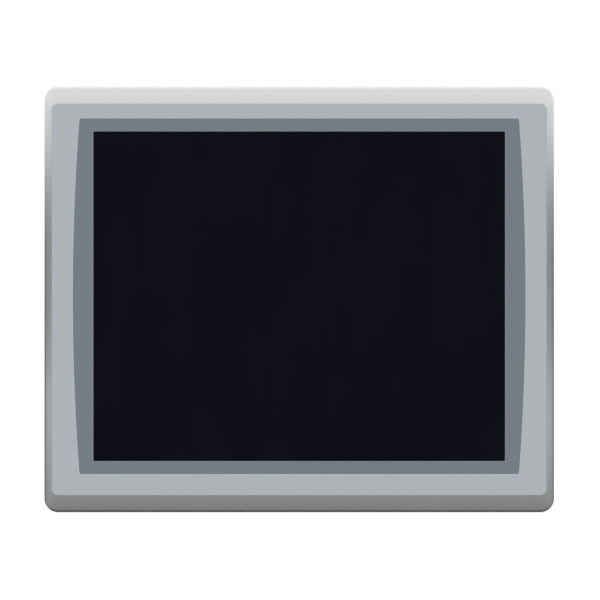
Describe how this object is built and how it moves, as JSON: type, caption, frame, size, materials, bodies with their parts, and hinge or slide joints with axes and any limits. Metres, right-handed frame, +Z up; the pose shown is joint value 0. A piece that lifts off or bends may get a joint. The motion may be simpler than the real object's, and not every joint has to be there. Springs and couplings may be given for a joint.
{
  "type": "hmi touch panel",
  "caption": "Panel-mount touch terminal: wide silver bezel, grey film, dark window border and black screen, with a shallow housing, levers and ports behind.",
  "frame": {"origin": "centre of the cabinet cut-out on the mounting plane, which is the rear face of the cabinet gasket", "axes": "+Y into the cabinet, so the screen faces -Y; +X to the right as the screen is read; +Z up"},
  "size_m": [0.47, 0.0649, 0.3926],
  "materials": {
    "amber_flex": "amber polyimide flex",
    "bare_aluminium": "extruded bare aluminium",
    "black_cable": "black cable sheath",
    "black_foam": "closed-cell black foam",
    "black_glass": "black screen behind glass, satin anti-glare face",
    "black_plastic": "black moulded plastic",
    "black_rubber": "soft black sealing rubber",
    "blue_plastic": "dark blue moulded plastic",
    "bright_steel": "bright plated steel",
    "cell_glass": "dark liquid-crystal cell glass",
    "clear_acrylic": "clear acrylic sheet",
    "dark_grey_film": "dark grey polyester film, satin",
    "green_board": "green solder mask on glass-fibre board",
    "green_plastic": "green moulded plastic",
    "grey_plastic": "grey glass-filled plastic",
    "light_grey_film": "light grey polyester film, fine matt texture",
    "red_cable": "red wire insulation",
    "silver_foil_label": "blank silver polyester label",
    "silver_paint": "fine satin silver paint over die-cast aluminium",
    "white_board": "white-coated strip board",
    "zinc-plated_steel": "zinc-plated sheet steel"
  },
  "bodies": {
    "terminal": {"front_bezel": "silver_paint", "front_label": "light_grey_film", "window_border": "dark_grey_film", "touch_glass": "black_glass", "touch_gasket": "black_foam", "panel_gasket": "black_rubber", "lcd_frame": "bright_steel", "lcd_cell": "cell_glass", "light_guide": "clear_acrylic", "led_strip_top": "white_board", "led_strip_bottom": "white_board", "lcd_tray": "bright_steel", "lcd_bracket_right": "zinc-plated_steel", "lcd_bracket_left": "zinc-plated_steel", "touch_board": "green_board", "backlight_board": "green_board", "display_housing": "zinc-plated_steel", "housing_screw_1": "bright_steel", "housing_screw_2": "bright_steel", "housing_screw_3": "bright_steel", "housing_screw_4": "bright_steel", "ground_screw": "bright_steel", "main_board": "green_board", "power_board": "green_board", "heat_sink": "bare_aluminium", "battery_holder": "black_plastic", "battery_cell": "bright_steel", "ethernet_port_1": "bright_steel", "ethernet_port_2": "bright_steel", "usb_port_1": "bright_steel", "usb_port_2": "bright_steel", "usb_device_port": "bright_steel", "power_header": "green_plastic", "card_socket": "bright_steel", "module_cover": "zinc-plated_steel", "cover_screw_1": "bright_steel", "cover_screw_2": "bright_steel", "cover_screw_3": "bright_steel", "cover_screw_4": "bright_steel", "rating_label": "silver_foil_label", "display_cable": "black_cable", "backlight_cable": "black_cable", "power_lead": "red_cable", "touch_tail": "amber_flex"},
    "lever_1": {"mounting_lever_1": "grey_plastic"},
    "lever_2": {"mounting_lever_2": "grey_plastic"},
    "lever_3": {"mounting_lever_3": "grey_plastic"},
    "lever_4": {"mounting_lever_4": "grey_plastic"},
    "lever_5": {"mounting_lever_5": "grey_plastic"},
    "lever_6": {"mounting_lever_6": "grey_plastic"},
    "lever_7": {"mounting_lever_7": "grey_plastic"},
    "lever_8": {"mounting_lever_8": "grey_plastic"},
    "plug": {"power_plug": "green_plastic"},
    "clamp_screw_1": {"power_plug_screw_1": "bright_steel"},
    "clamp_screw_2": {"power_plug_screw_2": "bright_steel"},
    "clamp_screw_3": {"power_plug_screw_3": "bright_steel"},
    "card": {"memory_card": "blue_plastic"}
  },
  "joints": [
    {"name": "lever_1_turn", "type": "hinge", "parent": "terminal", "child": "lever_1", "pos_m": [0.224, 0.0155, 0.11025], "axis": [1, 0, 0], "range_deg": [0, 90]},
    {"name": "lever_2_turn", "type": "hinge", "parent": "terminal", "child": "lever_2", "pos_m": [0.149, 0.0155, 0.18525], "axis": [0, 0, 1], "range_deg": [0, 90]},
    {"name": "lever_3_turn", "type": "hinge", "parent": "terminal", "child": "lever_3", "pos_m": [0.224, 0.0155, -0.11025], "axis": [1, 0, 0], "range_deg": [0, 90]},
    {"name": "lever_4_turn", "type": "hinge", "parent": "terminal", "child": "lever_4", "pos_m": [-0.149, 0.0155, 0.18525], "axis": [0, 0, 1], "range_deg": [0, 90]},
    {"name": "lever_5_turn", "type": "hinge", "parent": "terminal", "child": "lever_5", "pos_m": [-0.224, 0.0155, 0.11025], "axis": [-1, 0, 0], "range_deg": [0, 90]},
    {"name": "lever_6_turn", "type": "hinge", "parent": "terminal", "child": "lever_6", "pos_m": [0.149, 0.0155, -0.18525], "axis": [0, 0, -1], "range_deg": [0, 90]},
    {"name": "lever_7_turn", "type": "hinge", "parent": "terminal", "child": "lever_7", "pos_m": [-0.224, 0.0155, -0.11025], "axis": [-1, 0, 0], "range_deg": [0, 90]},
    {"name": "lever_8_turn", "type": "hinge", "parent": "terminal", "child": "lever_8", "pos_m": [-0.149, 0.0155, -0.18525], "axis": [0, 0, -1], "range_deg": [0, 90]},
    {"name": "plug_pull", "type": "slide", "parent": "terminal", "child": "plug", "axis": [0, 0, -1], "range_m": [0, 0.012]},
    {"name": "clamp_screw_1_turn", "type": "hinge", "parent": "plug", "child": "clamp_screw_1", "pos_m": [-0.11508, 0.04615, -0.108], "axis": [0, 1, 0], "range_deg": [0, 720]},
    {"name": "clamp_screw_2_turn", "type": "hinge", "parent": "plug", "child": "clamp_screw_2", "pos_m": [-0.11, 0.04615, -0.108], "axis": [0, 1, 0], "range_deg": [0, 720]},
    {"name": "clamp_screw_3_turn", "type": "hinge", "parent": "plug", "child": "clamp_screw_3", "pos_m": [-0.10492, 0.04615, -0.108], "axis": [0, 1, 0], "range_deg": [0, 720]},
    {"name": "card_slide", "type": "slide", "parent": "terminal", "child": "card", "axis": [0, 0, -1], "range_m": [-0.001, 0.028]}
  ]
}
